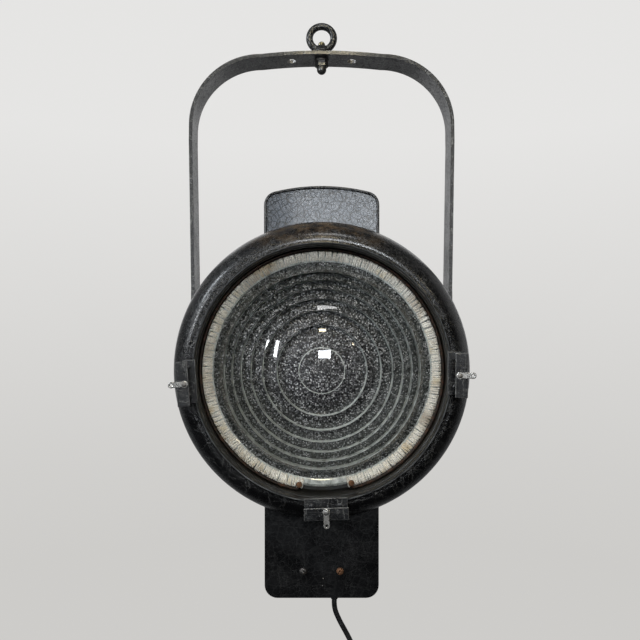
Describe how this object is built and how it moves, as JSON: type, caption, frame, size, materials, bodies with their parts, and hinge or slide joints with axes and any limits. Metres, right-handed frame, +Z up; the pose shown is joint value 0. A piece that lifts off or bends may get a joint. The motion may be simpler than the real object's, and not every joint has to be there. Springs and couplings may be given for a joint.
{
  "type": "fresnel spotlight",
  "caption": "Vintage theatre spotlight with a stepped lens in a deep round front ring, upright lamp house, hanging yoke with eye, and colour frame runners.",
  "frame": {"origin": "centre of the hanging eye at the top of the yoke", "axes": "+Z up as the lamp hangs, the lens shines along -Y, +X is to the right of someone looking into the lens"},
  "size_m": [0.3116, 0.2405, 0.9089],
  "materials": {
    "black_enamel": "crackled gloss black enamel, scratched and rubbed bronze at the edges",
    "worn_enamel": "dark grey-black enamel worn along its edges",
    "box_enamel": "smooth dark enamel",
    "bare_steel": "worn bare steel",
    "dark_steel": "dulled dark steel",
    "rusty_steel": "brown rusted steel wire",
    "brass": "dull brass",
    "lens_glass": "pressed glass, clear, pebbled back",
    "bulb_glass": "clear thin glass",
    "cord_white": "off-white wound cord with tan stains",
    "mirror": "polished reflector",
    "ceramic": "glazed off-white ceramic",
    "bakelite": "black moulded knob",
    "fibre": "brown vulcanised fibre",
    "tungsten": "fine wire and stem",
    "rubber": "matt black rubber",
    "pin_nickel": "nickel-plated pins"
  },
  "bodies": {
    "hanger": {"eye_nut": "dark_steel", "hanging_stud": "brass", "jam_nut": "dark_steel", "dome_washer": "dark_steel", "dome_nut": "dark_steel"},
    "yoke": {"yoke_bar": "worn_enamel"},
    "head": {"front_ring": "black_enamel", "ring_screws": "dark_steel", "lens": "lens_glass", "lens_cord": "cord_white", "retaining_wire": "rusty_steel", "runner_left": "worn_enamel", "runner_right": "worn_enamel", "runner_bottom": "worn_enamel", "runner_rivets": "bare_steel", "catch_rivets": "bare_steel", "drum_shell": "black_enamel", "rear_plate": "black_enamel", "chimney_shell": "black_enamel", "chimney_cap": "black_enamel", "light_baffle": "box_enamel", "base_box": "box_enamel", "base_back": "box_enamel", "front_screws": "rusty_steel", "back_screws": "dark_steel", "pivot_bosses": "black_enamel", "fibre_washers": "fibre", "pivot_washers": "dark_steel", "pivot_bolts": "dark_steel", "pivot_nuts": "dark_steel", "guide_rods": "bare_steel", "screw_bush": "brass", "door_hinge": "black_enamel", "hinge_pin": "bare_steel", "door_spring": "bare_steel", "terminal_block": "ceramic", "earth_screw": "brass", "gland_nut": "rubber", "cable_boot": "rubber", "cable_lead": "rubber", "cable_coil": "rubber", "cable_tie": "rubber", "cable_tail": "rubber", "plug_body": "rubber", "plug_pins": "pin_nickel"},
    "focus_drive": {"lead_screw": "bare_steel", "focus_knob": "bakelite"},
    "lamp_carriage": {"carriage": "bare_steel", "socket_post": "bare_steel", "lamp_socket": "ceramic", "lamp_cap": "brass", "lamp_bulb": "bulb_glass", "lamp_filament": "tungsten", "reflector": "mirror", "reflector_post": "bare_steel"},
    "door": {"rear_door": "black_enamel", "door_pull": "bakelite"},
    "left_catch": {"catch_left": "bare_steel"},
    "right_catch": {"catch_right": "bare_steel"},
    "bottom_catch": {"catch_bottom": "bare_steel"}
  },
  "joints": [
    {"name": "yoke_pan", "type": "hinge", "parent": "hanger", "child": "yoke", "pos_m": [0, 0, 0], "axis": [0, 0.0523, 0.9986], "range_deg": [-180, 180]},
    {"name": "head_tilt", "type": "hinge", "parent": "yoke", "child": "head", "pos_m": [0, -0.01978, -0.37748], "axis": [1, 0, 0], "range_deg": [-15, 90]},
    {"name": "focus_turn", "type": "hinge", "parent": "head", "child": "focus_drive", "pos_m": [0, 0.07822, -0.54248], "axis": [0, 1, 0], "range_deg": [-675, 1125]},
    {"name": "focus_slide", "type": "slide", "parent": "head", "child": "lamp_carriage", "axis": [0, 1, 0], "range_m": [-0.015, 0.025]},
    {"name": "door_swing", "type": "hinge", "parent": "head", "child": "door", "pos_m": [-0.064, 0.08342, -0.37748], "axis": [0, 0, 1], "range_deg": [0, 110]},
    {"name": "left_catch_turn", "type": "hinge", "parent": "head", "child": "left_catch", "pos_m": [-0.13118, -0.13978, -0.38666], "axis": [0, 1, 0], "range_deg": [-90, 90]},
    {"name": "right_catch_turn", "type": "hinge", "parent": "head", "child": "right_catch", "pos_m": [0.1315, -0.13978, -0.3784], "axis": [0, 1, 0], "range_deg": [-90, 90]},
    {"name": "bottom_catch_turn", "type": "hinge", "parent": "head", "child": "bottom_catch", "pos_m": [0.00413, -0.13978, -0.50892], "axis": [0, 1, 0], "range_deg": [-90, 90]}
  ],
  "couplings": [
    {"joint": "focus_turn", "follows": "focus_slide", "rad_per_m": 785.4}
  ]
}
